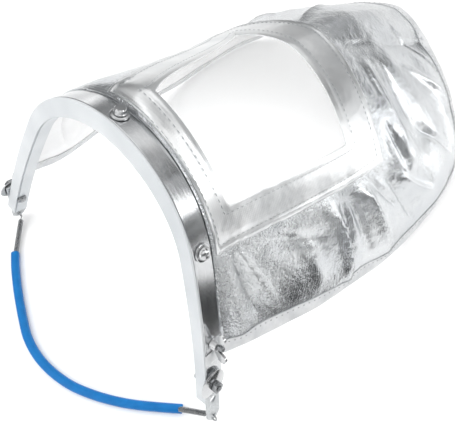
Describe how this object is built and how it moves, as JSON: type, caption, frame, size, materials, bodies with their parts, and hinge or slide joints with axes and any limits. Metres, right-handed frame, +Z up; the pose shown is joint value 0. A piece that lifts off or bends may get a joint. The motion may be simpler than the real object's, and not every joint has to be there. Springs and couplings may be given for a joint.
{
  "type": "aluminized heat-resistant hood",
  "caption": "Aluminized cloth face hood with a clear window on an arched metal bracket, with a blue-sheathed retaining spring, lying face up.",
  "frame": {"origin": "middle of the footprint, on the surface that the hood lies on", "axes": "+Y from the bracket towards the chin hem, +Z up, +X towards the side with the wing nut"},
  "size_m": [0.292, 0.4632, 0.2042],
  "materials": {
    "rail_finish": "matt light grey",
    "band_finish": "brushed",
    "aluminized_cloth": "aluminized, creased",
    "border_cloth": "aluminized, stitched",
    "clear_sheet": "clear, thin",
    "binding_tape": "aluminized tape, stitched",
    "plated_steel": "bright plated",
    "hanger_steel": "satin",
    "spring_steel": "close coiled wire",
    "blue_sheath": "satin blue"
  },
  "bodies": {
    "root": {"rail": "rail_finish", "band": "band_finish", "hood_cloth": "aluminized_cloth", "window_border": "border_cloth", "window_sheet": "clear_sheet", "hem_binding": "binding_tape", "hem_tab_right": "binding_tape", "hem_tab_left": "binding_tape", "crown_washer": "plated_steel", "crown_knob": "plated_steel", "dome_washer": "plated_steel", "dome_screw": "plated_steel", "wing_stud": "plated_steel", "wing_nut": "plated_steel", "leg_washer_right": "plated_steel", "leg_nut_right": "plated_steel", "leg_bolt_right": "plated_steel", "leg_washer_left": "plated_steel", "leg_nut_left": "plated_steel", "leg_bolt_left": "plated_steel", "hanger_right": "hanger_steel", "hanger_left": "hanger_steel", "spring_end_right": "spring_steel", "spring_end_left": "spring_steel", "spring_sheath": "blue_sheath"}
  },
  "joints": []
}
